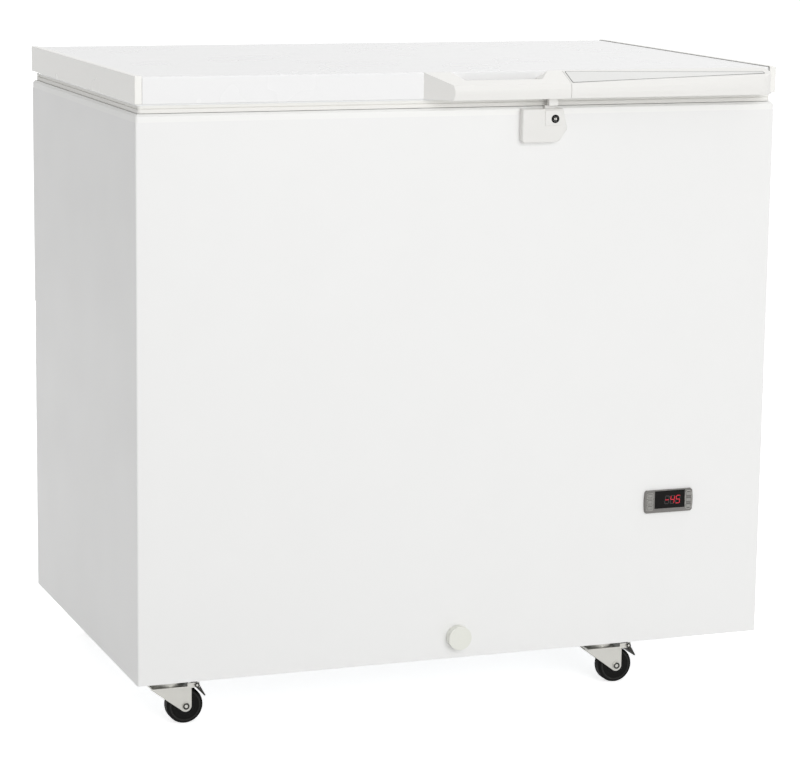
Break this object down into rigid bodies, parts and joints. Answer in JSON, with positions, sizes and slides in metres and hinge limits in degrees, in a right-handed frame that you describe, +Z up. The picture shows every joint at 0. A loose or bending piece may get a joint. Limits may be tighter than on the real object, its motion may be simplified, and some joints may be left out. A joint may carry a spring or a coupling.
{
  "type": "medical chest freezer",
  "caption": "White chest freezer for medical samples, with a hinged insulated lid, moulded handle, key lock, front controller, drain and swivel casters.",
  "frame": {"origin": "on the floor, under the middle of the outline with handle and hinges", "axes": "+X to the right seen from the front, +Y from the front to the back, +Z up"},
  "size_m": [0.907, 0.618, 0.869],
  "materials": {
    "body_paint": "satin white powder coat",
    "lid_paint": "satin white powder coat",
    "zinc_sheet": "zinc plated, dull",
    "frame_plastic": "smooth white moulding",
    "liner_sheet": "stucco embossed sheet",
    "liner_plastic": "vacuum formed white sheet",
    "foam": "rigid foam, pale yellow",
    "coil_tube": "drawn tube",
    "copper": "drawn copper, slightly tarnished",
    "white_plastic": "fine satin moulding",
    "cream_plastic": "satin moulding",
    "handle_plastic": "fine satin moulding",
    "grey_plastic": "extruded tube",
    "bezel_plastic": "satin grey moulding",
    "key_plastic": "soft key pads",
    "display_window": "polished dark window",
    "black_plastic": "satin moulding",
    "black_paint": "semi-gloss black",
    "plug_metal": "polished nickel",
    "plug_rubber": "moulded rubber",
    "gasket_rubber": "soft extrusion",
    "wheel_rubber": "hard rubber"
  },
  "bodies": {
    "cabinet": {"outer_shell": "body_paint", "rear_panel": "body_paint", "base_panel": "zinc_sheet", "top_frame": "frame_plastic", "inner_liner": "liner_sheet", "insulation": "foam", "evaporator_coil": "coil_tube", "condenser_coil": "coil_tube", "drain_tube": "grey_plastic", "drain_outlet": "white_plastic", "bay_partition": "zinc_sheet", "compressor_tray": "zinc_sheet", "compressor_mounts": "plug_rubber", "compressor": "black_paint", "terminal_box": "black_plastic", "filter_drier": "copper", "refrigerant_pipes": "copper", "rear_cover": "body_paint", "cord_gland": "black_plastic", "side_grille": "white_plastic", "controller_bezel": "bezel_plastic", "controller_window": "display_window", "controller_case": "black_plastic", "lock_housing": "white_plastic", "lock_barrel": "black_plastic", "hinge_bases": "zinc_sheet", "hinge_pins": "zinc_sheet", "rear_screws": "zinc_sheet", "caster_plates": "zinc_sheet", "caster_bolts": "zinc_sheet"},
    "lid": {"lid_skin": "lid_paint", "lid_cap_left": "white_plastic", "lid_cap_right": "white_plastic", "lid_liner": "liner_plastic", "lid_foam": "foam", "handle_grip": "handle_plastic", "handle_cover": "handle_plastic", "gasket": "gasket_rubber", "lock_hook": "white_plastic", "hinge_leaves": "zinc_sheet"},
    "lock_plug": {"lock_plug": "plug_metal"},
    "drain_cap": {"drain_cap": "cream_plastic"},
    "floor_plug": {"floor_plug": "plug_rubber"},
    "key_left_upper": {"key_left_upper": "key_plastic"},
    "key_left_middle": {"key_left_middle": "key_plastic"},
    "key_left_lower": {"key_left_lower": "key_plastic"},
    "key_right_upper": {"key_right_upper": "key_plastic"},
    "key_right_middle": {"key_right_middle": "key_plastic"},
    "key_right_lower": {"key_right_lower": "key_plastic"},
    "fork_front_left": {"caster_fork_front_left": "zinc_sheet"},
    "wheel_front_left": {"caster_wheel_front_left": "wheel_rubber"},
    "fork_front_right": {"caster_fork_front_right": "zinc_sheet"},
    "wheel_front_right": {"caster_wheel_front_right": "wheel_rubber"},
    "fork_rear_left": {"caster_fork_rear_left": "zinc_sheet"},
    "wheel_rear_left": {"caster_wheel_rear_left": "wheel_rubber"},
    "fork_rear_right": {"caster_fork_rear_right": "zinc_sheet"},
    "wheel_rear_right": {"caster_wheel_rear_right": "wheel_rubber"},
    "pedal_front_left": {"brake_pedal_front_left": "zinc_sheet"},
    "pedal_front_right": {"brake_pedal_front_right": "zinc_sheet"}
  },
  "joints": [
    {"name": "lid_hinge", "type": "hinge", "parent": "cabinet", "child": "lid", "pos_m": [0, 0.303, 0.827], "axis": [-1, 0, 0], "range_deg": [0, 85]},
    {"name": "lock_turn", "type": "hinge", "parent": "cabinet", "child": "lock_plug", "pos_m": [0.121, -0.274, 0.8045], "axis": [0, -1, 0], "range_deg": [0, 90]},
    {"name": "drain_cap_pull", "type": "slide", "parent": "cabinet", "child": "drain_cap", "axis": [0, -1, 0], "range_m": [0, 0.03]},
    {"name": "floor_plug_lift", "type": "slide", "parent": "cabinet", "child": "floor_plug", "axis": [0, 0, 1], "range_m": [0, 0.03]},
    {"name": "key_left_upper_press", "type": "slide", "parent": "cabinet", "child": "key_left_upper", "axis": [0, 1, 0], "range_m": [0, 0.0006], "stiffness_N_per_m": 400},
    {"name": "key_left_middle_press", "type": "slide", "parent": "cabinet", "child": "key_left_middle", "axis": [0, 1, 0], "range_m": [0, 0.0006], "stiffness_N_per_m": 400},
    {"name": "key_left_lower_press", "type": "slide", "parent": "cabinet", "child": "key_left_lower", "axis": [0, 1, 0], "range_m": [0, 0.0006], "stiffness_N_per_m": 400},
    {"name": "key_right_upper_press", "type": "slide", "parent": "cabinet", "child": "key_right_upper", "axis": [0, 1, 0], "range_m": [0, 0.0006], "stiffness_N_per_m": 400},
    {"name": "key_right_middle_press", "type": "slide", "parent": "cabinet", "child": "key_right_middle", "axis": [0, 1, 0], "range_m": [0, 0.0006], "stiffness_N_per_m": 400},
    {"name": "key_right_lower_press", "type": "slide", "parent": "cabinet", "child": "key_right_lower", "axis": [0, 1, 0], "range_m": [0, 0.0006], "stiffness_N_per_m": 400},
    {"name": "swivel_front_left", "type": "hinge", "parent": "cabinet", "child": "fork_front_left", "pos_m": [-0.3985, -0.222, 0.055], "axis": [0, 0, 1], "continuous": true},
    {"name": "roll_front_left", "type": "hinge", "parent": "fork_front_left", "child": "wheel_front_left", "pos_m": [-0.3755, -0.222, 0.025], "axis": [0, 1, 0], "continuous": true},
    {"name": "brake_front_left", "type": "hinge", "parent": "fork_front_left", "child": "pedal_front_left", "pos_m": [-0.3645, -0.222, 0.0575], "axis": [0, 1, 0], "range_deg": [0, 5]},
    {"name": "swivel_front_right", "type": "hinge", "parent": "cabinet", "child": "fork_front_right", "pos_m": [0.2325, -0.222, 0.055], "axis": [0, 0, 1], "continuous": true},
    {"name": "roll_front_right", "type": "hinge", "parent": "fork_front_right", "child": "wheel_front_right", "pos_m": [0.2555, -0.222, 0.025], "axis": [0, 1, 0], "continuous": true},
    {"name": "brake_front_right", "type": "hinge", "parent": "fork_front_right", "child": "pedal_front_right", "pos_m": [0.2665, -0.222, 0.0575], "axis": [0, 1, 0], "range_deg": [0, 5]},
    {"name": "swivel_rear_left", "type": "hinge", "parent": "cabinet", "child": "fork_rear_left", "pos_m": [-0.3985, 0.239, 0.055], "axis": [0, 0, 1], "continuous": true},
    {"name": "roll_rear_left", "type": "hinge", "parent": "fork_rear_left", "child": "wheel_rear_left", "pos_m": [-0.3755, 0.239, 0.025], "axis": [0, 1, 0], "continuous": true},
    {"name": "swivel_rear_right", "type": "hinge", "parent": "cabinet", "child": "fork_rear_right", "pos_m": [0.2325, 0.239, 0.055], "axis": [0, 0, 1], "continuous": true},
    {"name": "roll_rear_right", "type": "hinge", "parent": "fork_rear_right", "child": "wheel_rear_right", "pos_m": [0.2555, 0.239, 0.025], "axis": [0, 1, 0], "continuous": true}
  ]
}
